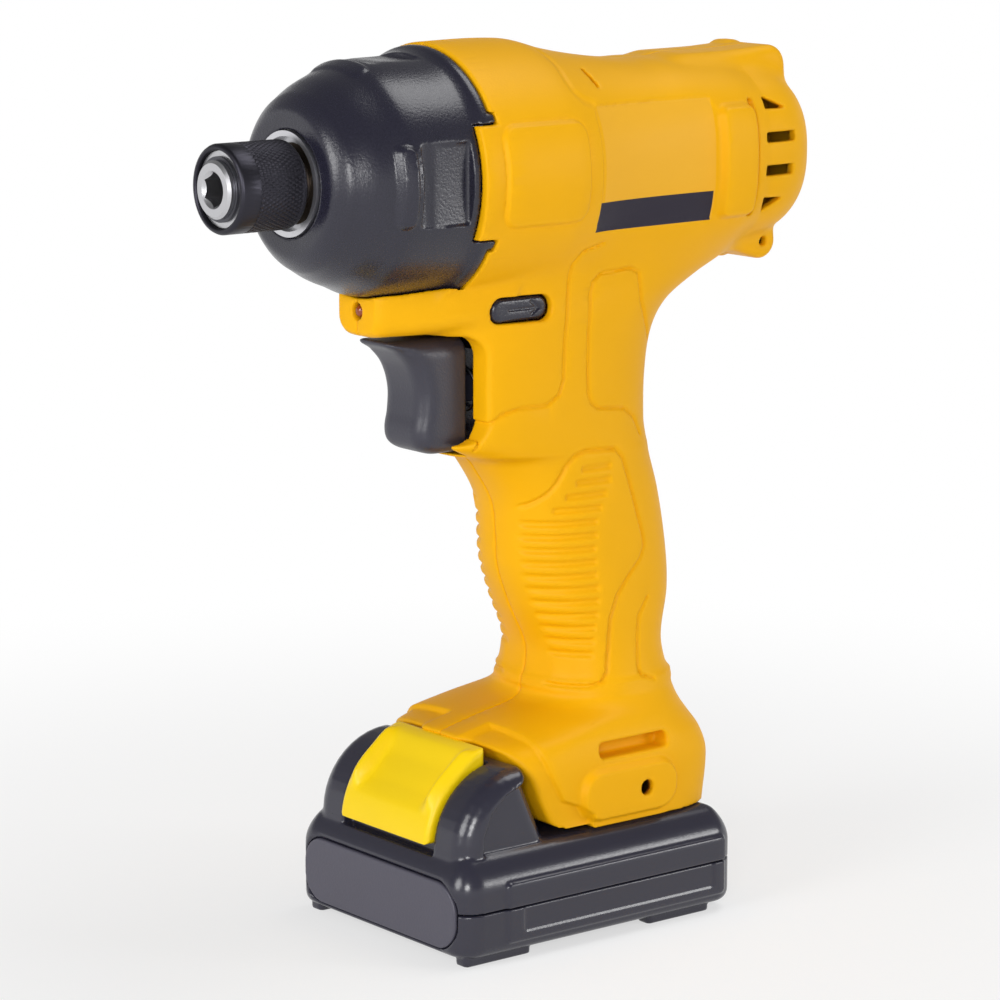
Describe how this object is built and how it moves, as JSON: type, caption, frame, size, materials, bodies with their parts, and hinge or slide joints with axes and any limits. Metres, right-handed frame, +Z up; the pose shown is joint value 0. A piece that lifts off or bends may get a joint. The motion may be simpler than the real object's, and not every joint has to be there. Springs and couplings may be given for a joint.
{
  "type": "impact driver",
  "caption": "Compact cordless impact driver with a hex bit collet, pistol grip and slide-on battery base; drives screws with rotary hammer blows.",
  "frame": {"origin": "bottom centre of the box, on the plane of the battery feet", "axes": "-X the way the bit points, +Y to the user's right, +Z up; the drive axis is along X"},
  "size_m": [0.155, 0.0616, 0.195],
  "materials": {
    "housing_yellow": "moulded nylon with a fine grain",
    "latch_yellow": "moulded nylon, brighter yellow",
    "black_plastic": "moulded nylon with a fine grain",
    "dark_plastic": "moulded nylon, satin",
    "case_metal": "die cast, front ring polished",
    "tool_steel": "hardened and ground",
    "bearing_steel": "polished",
    "sleeve_steel": "black oxide, knurled",
    "spring_steel": "drawn wire",
    "screw_steel": "black zinc plated",
    "lamination_steel": "stacked sheets",
    "can_steel": "zinc plated",
    "ferrite": "sintered",
    "carbon": "pressed graphite",
    "bronze": "sintered bronze",
    "brass": "turned or stamped",
    "copper": "bare copper",
    "lens": "clear epoxy lens",
    "board": "green solder resist",
    "cell_wrap": "shrink sleeve"
  },
  "bodies": {
    "tool": {"left_housing": "housing_yellow", "right_housing": "housing_yellow", "housing_screws": "screw_steel", "belt_hook_inserts": "brass", "nose_cover": "black_plastic", "hammer_case": "case_metal", "anvil_bush": "bronze", "ring_gear": "tool_steel", "carrier_bearing": "bearing_steel", "gearbox_plate": "dark_plastic", "motor_can": "can_steel", "motor_magnets": "ferrite", "motor_bushes": "bronze", "motor_end_bell": "black_plastic", "carbon_brushes": "carbon", "motor_terminals": "brass", "trigger_spring": "spring_steel", "trigger_switch": "black_plastic", "work_light": "lens", "light_board": "board", "terminal_block": "black_plastic", "terminal_blades": "brass"},
    "spindle": {"cam_shaft": "tool_steel", "planet_pins": "bearing_steel", "hammer_spring": "spring_steel"},
    "planet_1": {"planet_gear_1": "tool_steel"},
    "planet_2": {"planet_gear_2": "tool_steel"},
    "planet_3": {"planet_gear_3": "tool_steel"},
    "rotor": {"motor_shaft": "tool_steel", "motor_pinion": "tool_steel", "armature_core": "lamination_steel", "armature_windings": "copper", "commutator": "copper", "cooling_fan": "black_plastic"},
    "anvil": {"anvil": "tool_steel", "lock_balls": "bearing_steel", "collet_washer": "tool_steel", "collet_snap_ring": "spring_steel", "collet_spring": "spring_steel"},
    "sleeve": {"collet_sleeve": "sleeve_steel"},
    "hammer_seat": {"spring_washer": "tool_steel", "thrust_balls": "bearing_steel"},
    "hammer": {"hammer": "tool_steel", "cam_balls": "bearing_steel"},
    "trigger": {"trigger": "dark_plastic"},
    "selector": {"direction_selector": "black_plastic"},
    "battery": {"battery_upper_case": "black_plastic", "battery_lower_case": "black_plastic", "battery_front_plate": "dark_plastic", "battery_cells": "cell_wrap", "cell_holders": "dark_plastic", "cell_straps": "can_steel", "battery_contacts": "copper", "latch_springs": "spring_steel", "battery_screws": "screw_steel"},
    "latch": {"battery_latch": "latch_yellow"}
  },
  "joints": [
    {"name": "spindle_turn", "type": "hinge", "parent": "tool", "child": "spindle", "pos_m": [0, 0, 0.1672], "axis": [1, 0, 0], "continuous": true},
    {"name": "planet_turn_1", "type": "hinge", "parent": "spindle", "child": "planet_1", "pos_m": [0, 0, 0.1777], "axis": [1, 0, 0], "continuous": true},
    {"name": "planet_turn_2", "type": "hinge", "parent": "spindle", "child": "planet_2", "pos_m": [0, -0.00909, 0.16195], "axis": [1, 0, 0], "continuous": true},
    {"name": "planet_turn_3", "type": "hinge", "parent": "spindle", "child": "planet_3", "pos_m": [0, 0.00909, 0.16195], "axis": [1, 0, 0], "continuous": true},
    {"name": "motor_turn", "type": "hinge", "parent": "tool", "child": "rotor", "pos_m": [0, 0, 0.1672], "axis": [1, 0, 0], "continuous": true},
    {"name": "anvil_turn", "type": "hinge", "parent": "tool", "child": "anvil", "pos_m": [0, 0, 0.1672], "axis": [1, 0, 0], "continuous": true},
    {"name": "collet_slide", "type": "slide", "parent": "anvil", "child": "sleeve", "axis": [-1, 0, 0], "range_m": [0, 0.004], "stiffness_N_per_m": 2500, "springref_m": -0.003, "deforming": ["collet_spring"]},
    {"name": "hammer_stroke", "type": "slide", "parent": "spindle", "child": "hammer_seat", "axis": [1, 0, 0], "range_m": [0, 0.006], "stiffness_N_per_m": 8000, "springref_m": -0.005, "deforming": ["hammer_spring"]},
    {"name": "hammer_cam_turn", "type": "hinge", "parent": "hammer_seat", "child": "hammer", "pos_m": [0, 0, 0.1672], "axis": [1, 0, 0], "range_deg": [0, 60]},
    {"name": "trigger_pull", "type": "slide", "parent": "tool", "child": "trigger", "axis": [1, 0, 0], "range_m": [0, 0.0065], "stiffness_N_per_m": 1500, "springref_m": -0.004, "deforming": ["trigger_spring"]},
    {"name": "direction_select", "type": "slide", "parent": "tool", "child": "selector", "axis": [0, 1, 0], "range_m": [-0.003, 0.003]},
    {"name": "battery_slide", "type": "slide", "parent": "tool", "child": "battery", "axis": [-1, 0, 0], "range_m": [0, 0.07]},
    {"name": "latch_press", "type": "slide", "parent": "battery", "child": "latch", "axis": [0, 0, -1], "range_m": [0, 0.002], "stiffness_N_per_m": 2000, "springref_m": -0.002, "deforming": ["latch_springs"]}
  ],
  "couplings": [
    {"joint": "planet_turn_1", "follows": "spindle_turn", "ratio": -2.4286},
    {"joint": "planet_turn_2", "follows": "spindle_turn", "ratio": -2.4286},
    {"joint": "planet_turn_3", "follows": "spindle_turn", "ratio": -2.4286},
    {"joint": "motor_turn", "follows": "spindle_turn", "ratio": 6.6667},
    {"joint": "anvil_turn", "follows": "spindle_turn", "ratio": 1},
    {"joint": "hammer_cam_turn", "follows": "hammer_stroke", "rad_per_m": 174.53}
  ]
}
